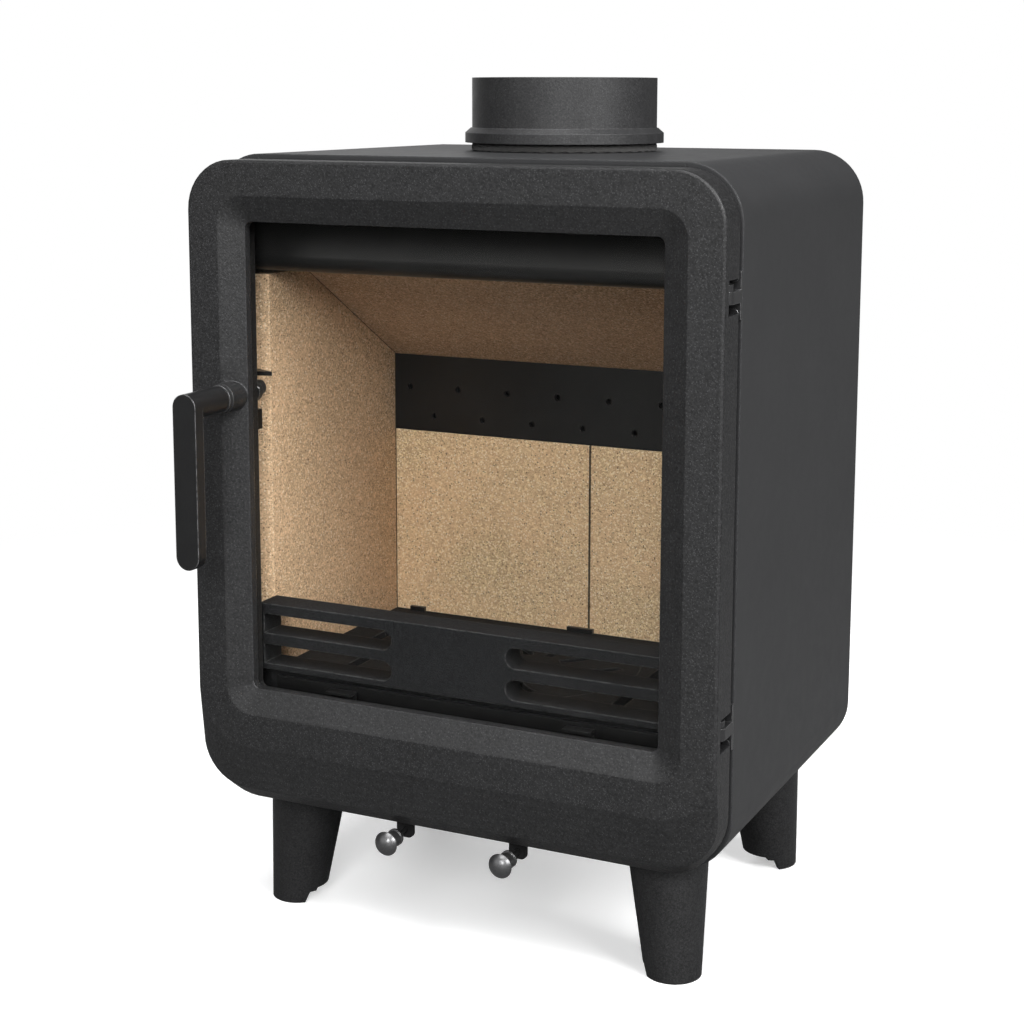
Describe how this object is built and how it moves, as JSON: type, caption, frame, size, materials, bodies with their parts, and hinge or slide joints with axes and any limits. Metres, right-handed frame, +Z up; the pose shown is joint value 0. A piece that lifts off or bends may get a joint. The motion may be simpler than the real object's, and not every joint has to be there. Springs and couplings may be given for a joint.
{
  "type": "wood-burning stove",
  "caption": "Compact wood-burning stove: rounded sheet casing, cast door with a large window and turning handle, top flue collar, air slides below, tapered cast legs.",
  "frame": {"origin": "on the floor, under the middle of the whole stove, handle included", "axes": "+Z up, the door and window face -Y, +X is the right-hand side seen from the front"},
  "size_m": [0.386, 0.354, 0.5915],
  "materials": {
    "casing_paint": "satin high-temperature paint",
    "frame_paint": "matt high-temperature paint",
    "panel_paint": "satin high-temperature paint",
    "inner_steel": "matt black",
    "fixing_steel": "plain zinc-plated steel",
    "hinge_steel": "blackened steel",
    "collar_iron": "satin paint on cast iron",
    "leg_iron": "satin paint on cast iron",
    "door_iron": "coarse cast surface, satin paint",
    "firebed_iron": "black cast iron",
    "side_brick": "speckled vermiculite board",
    "rear_brick": "speckled vermiculite board",
    "baffle_brick": "speckled vermiculite board",
    "window_glass": "clear ceramic glass",
    "rope_seal": "braided glass-fibre rope",
    "flat_gasket": "flat black tape",
    "grip_black": "satin black with worn edges",
    "slide_steel": "matt black sheet",
    "knob_steel": "dark nickel-plated steel"
  },
  "bodies": {
    "body": {"casing": "casing_paint", "casing_roof": "casing_paint", "front_frame": "frame_paint", "rear_panel": "panel_paint", "rear_shield": "panel_paint", "shield_screws": "fixing_steel", "flue_collar": "collar_iron", "collar_seal": "flat_gasket", "collar_ring": "collar_iron", "brick_left": "side_brick", "brick_right": "side_brick", "brick_rear_left": "rear_brick", "brick_rear_right": "rear_brick", "baffle": "baffle_brick", "air_manifold": "inner_steel", "rear_air_duct": "inner_steel", "air_deflector": "inner_steel", "log_fence": "firebed_iron", "grate_bed": "firebed_iron", "bed_sill": "firebed_iron", "grate": "firebed_iron", "grate_studs": "fixing_steel", "bed_rails": "inner_steel", "brick_clips": "inner_steel", "ash_floor": "inner_steel", "ash_pan": "inner_steel", "leg_front_left": "leg_iron", "leg_front_right": "leg_iron", "leg_rear_left": "leg_iron", "leg_rear_right": "leg_iron", "leg_bolts": "fixing_steel", "hinge_bracket_lower": "hinge_steel", "hinge_bracket_upper": "hinge_steel", "hinge_screws": "hinge_steel", "latch_keeper": "inner_steel", "slide_guides": "slide_steel"},
    "door": {"door_frame": "door_iron", "door_glass": "window_glass", "glass_gasket": "flat_gasket", "glass_clips": "inner_steel", "glass_screws": "fixing_steel", "door_rope": "rope_seal", "hinge_pins": "hinge_steel", "handle_washer": "hinge_steel"},
    "handle": {"handle_grip": "grip_black", "handle_spindle": "hinge_steel", "latch_cam": "hinge_steel", "latch_roller": "hinge_steel"},
    "slide_left": {"slide_left": "slide_steel", "knob_left": "knob_steel"},
    "slide_right": {"slide_right": "slide_steel", "knob_right": "knob_steel"}
  },
  "joints": [
    {"name": "door_swing", "type": "hinge", "parent": "body", "child": "door", "pos_m": [0.1865, -0.1075, 0.3194], "axis": [0, 0, 1], "range_deg": [0, 105]},
    {"name": "handle_turn", "type": "hinge", "parent": "door", "child": "handle", "pos_m": [-0.162, -0.13, 0.3755], "axis": [0, 1, 0], "range_deg": [0, 90]},
    {"name": "left_air_slide", "type": "slide", "parent": "body", "child": "slide_left", "axis": [0, -1, 0], "range_m": [0, 0.03]},
    {"name": "right_air_slide", "type": "slide", "parent": "body", "child": "slide_right", "axis": [0, -1, 0], "range_m": [0, 0.03]}
  ]
}
